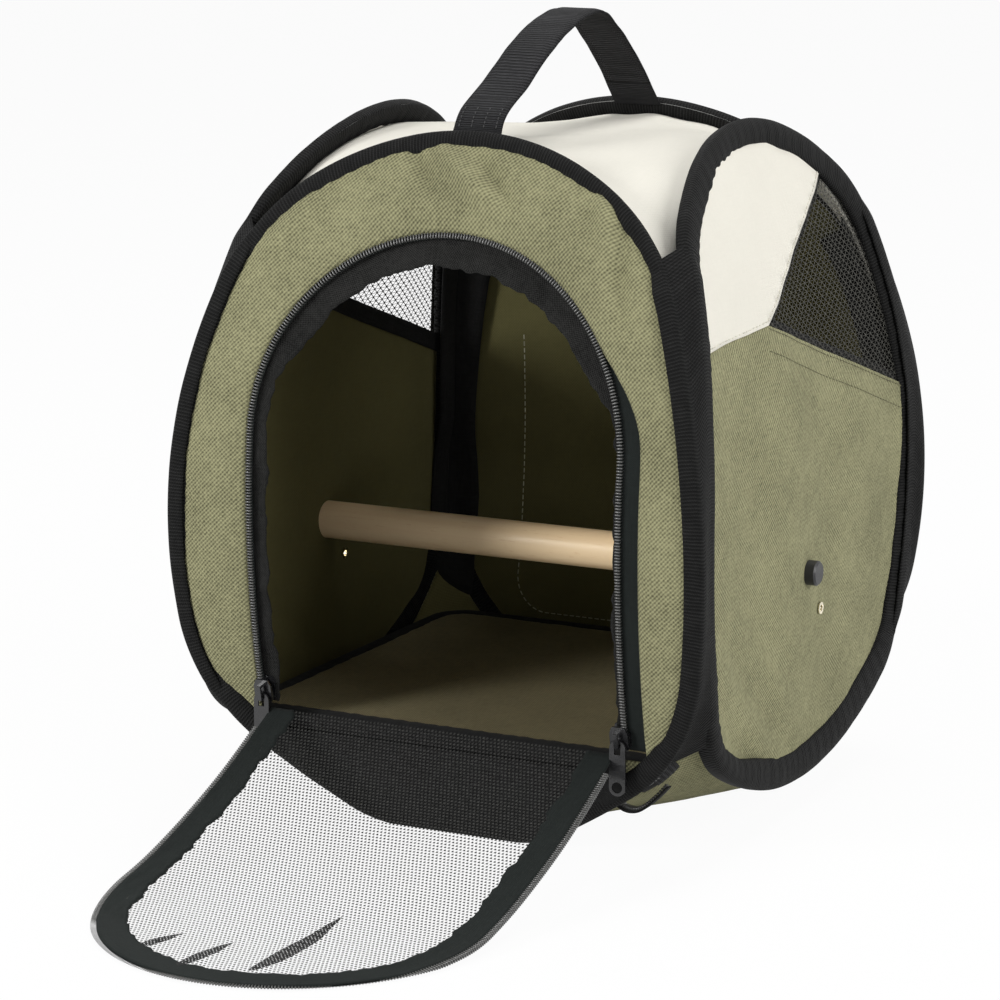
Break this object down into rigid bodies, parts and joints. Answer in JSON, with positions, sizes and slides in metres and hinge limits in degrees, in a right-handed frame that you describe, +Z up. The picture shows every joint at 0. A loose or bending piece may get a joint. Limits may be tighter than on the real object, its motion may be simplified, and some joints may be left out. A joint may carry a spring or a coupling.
{
  "type": "bird travel carrier",
  "caption": "Pop-up cloth travel carrier for a small bird, with bowed hoop frames, arched zip-down mesh door, side windows, wooden perch, floor board and carrying strap.",
  "frame": {"origin": "on the underside of the base, below the middle of the cabin, at the height of the surface the carrier stands on", "axes": "+X is the carrier's right seen from the front, -Y is the door side, +Z is up"},
  "size_m": [0.2746, 0.4881, 0.378],
  "materials": {
    "olive_cloth": "matte coarse weave",
    "ivory_cloth": "matte coarse weave",
    "black_webbing": "ribbed tape",
    "black_mesh": "open hexagonal net",
    "black_coil": "nylon coil",
    "slider_enamel": "gloss enamel",
    "spring_steel": "bare",
    "perch_wood": "sanded, unvarnished",
    "knob_plastic": "satin",
    "screw_steel": "zinc plated",
    "eyelet_brass": "plain"
  },
  "bodies": {
    "carrier": {"base_panel": "olive_cloth", "base_zipper_coil": "black_coil", "base_zipper_tab": "black_webbing", "base_zipper_tape": "black_webbing", "door_hinge_tape": "black_webbing", "front_hoop_casing": "black_webbing", "front_hoop_spring": "spring_steel", "front_panel": "olive_cloth", "front_zipper_coil": "black_coil", "front_zipper_placket": "black_webbing", "handle_anchors": "black_webbing", "left_corner_panel": "ivory_cloth", "left_eyelet": "eyelet_brass", "left_hoop_casing": "black_webbing", "left_hoop_spring": "spring_steel", "left_seam_tape": "black_webbing", "left_side_mesh": "black_mesh", "left_side_panel": "olive_cloth", "perch_rod": "perch_wood", "rear_hoop_casing": "black_webbing", "rear_hoop_spring": "spring_steel", "rear_panel": "olive_cloth", "rear_pocket": "olive_cloth", "right_corner_panel": "ivory_cloth", "right_eyelet": "eyelet_brass", "right_hoop_casing": "black_webbing", "right_hoop_spring": "spring_steel", "right_seam_tape": "black_webbing", "right_side_mesh": "black_mesh", "right_side_panel": "olive_cloth", "roof_panel": "ivory_cloth"},
    "door": {"door_border": "black_webbing", "door_mesh": "black_mesh", "door_zipper_coil": "black_coil"},
    "handle": {"carry_handle": "black_webbing"},
    "board": {"floor_board": "olive_cloth", "floor_board_binding": "black_webbing"},
    "left_slider": {"left_zipper_slider": "slider_enamel"},
    "left_pull": {"left_zipper_pull": "slider_enamel"},
    "left_knob": {"left_perch_knob": "knob_plastic", "left_perch_screw": "screw_steel"},
    "right_slider": {"right_zipper_slider": "slider_enamel"},
    "right_pull": {"right_zipper_pull": "slider_enamel"},
    "right_knob": {"right_perch_knob": "knob_plastic", "right_perch_screw": "screw_steel"}
  },
  "joints": [
    {"name": "door_fold", "type": "hinge", "parent": "carrier", "child": "door", "pos_m": [0, -0.12586, 0.053], "axis": [-1, 0, 0], "range_deg": [0, 105.9]},
    {"name": "handle_swing", "type": "hinge", "parent": "carrier", "child": "handle", "pos_m": [0, 0, 0.333], "axis": [0, 1, 0], "range_deg": [-45, 45], "stiffness_Nm_per_rad": 0.02},
    {"name": "board_lift", "type": "hinge", "parent": "carrier", "child": "board", "pos_m": [0, 0.11, 0.0452], "axis": [-1, 0, 0], "range_deg": [0, 12]},
    {"name": "left_zipper_run", "type": "hinge", "parent": "carrier", "child": "left_slider", "pos_m": [-0.093, 0.3035, 0.155], "axis": [-1, 0, 0], "range_deg": [0, 15.3]},
    {"name": "left_pull_swing", "type": "hinge", "parent": "left_slider", "child": "left_pull", "pos_m": [-0.093, -0.13037, 0.0609], "axis": [-1, 0, 0], "range_deg": [-10, 150]},
    {"name": "left_knob_turn", "type": "hinge", "parent": "carrier", "child": "left_knob", "pos_m": [-0.131, 0, 0.117], "axis": [1, 0, 0], "continuous": true},
    {"name": "right_zipper_run", "type": "hinge", "parent": "carrier", "child": "right_slider", "pos_m": [0.093, 0.3035, 0.155], "axis": [-1, 0, 0], "range_deg": [0, 15.3]},
    {"name": "right_pull_swing", "type": "hinge", "parent": "right_slider", "child": "right_pull", "pos_m": [0.093, -0.13037, 0.0609], "axis": [-1, 0, 0], "range_deg": [-10, 150]},
    {"name": "right_knob_turn", "type": "hinge", "parent": "carrier", "child": "right_knob", "pos_m": [0.131, 0, 0.117], "axis": [1, 0, 0], "continuous": true}
  ]
}
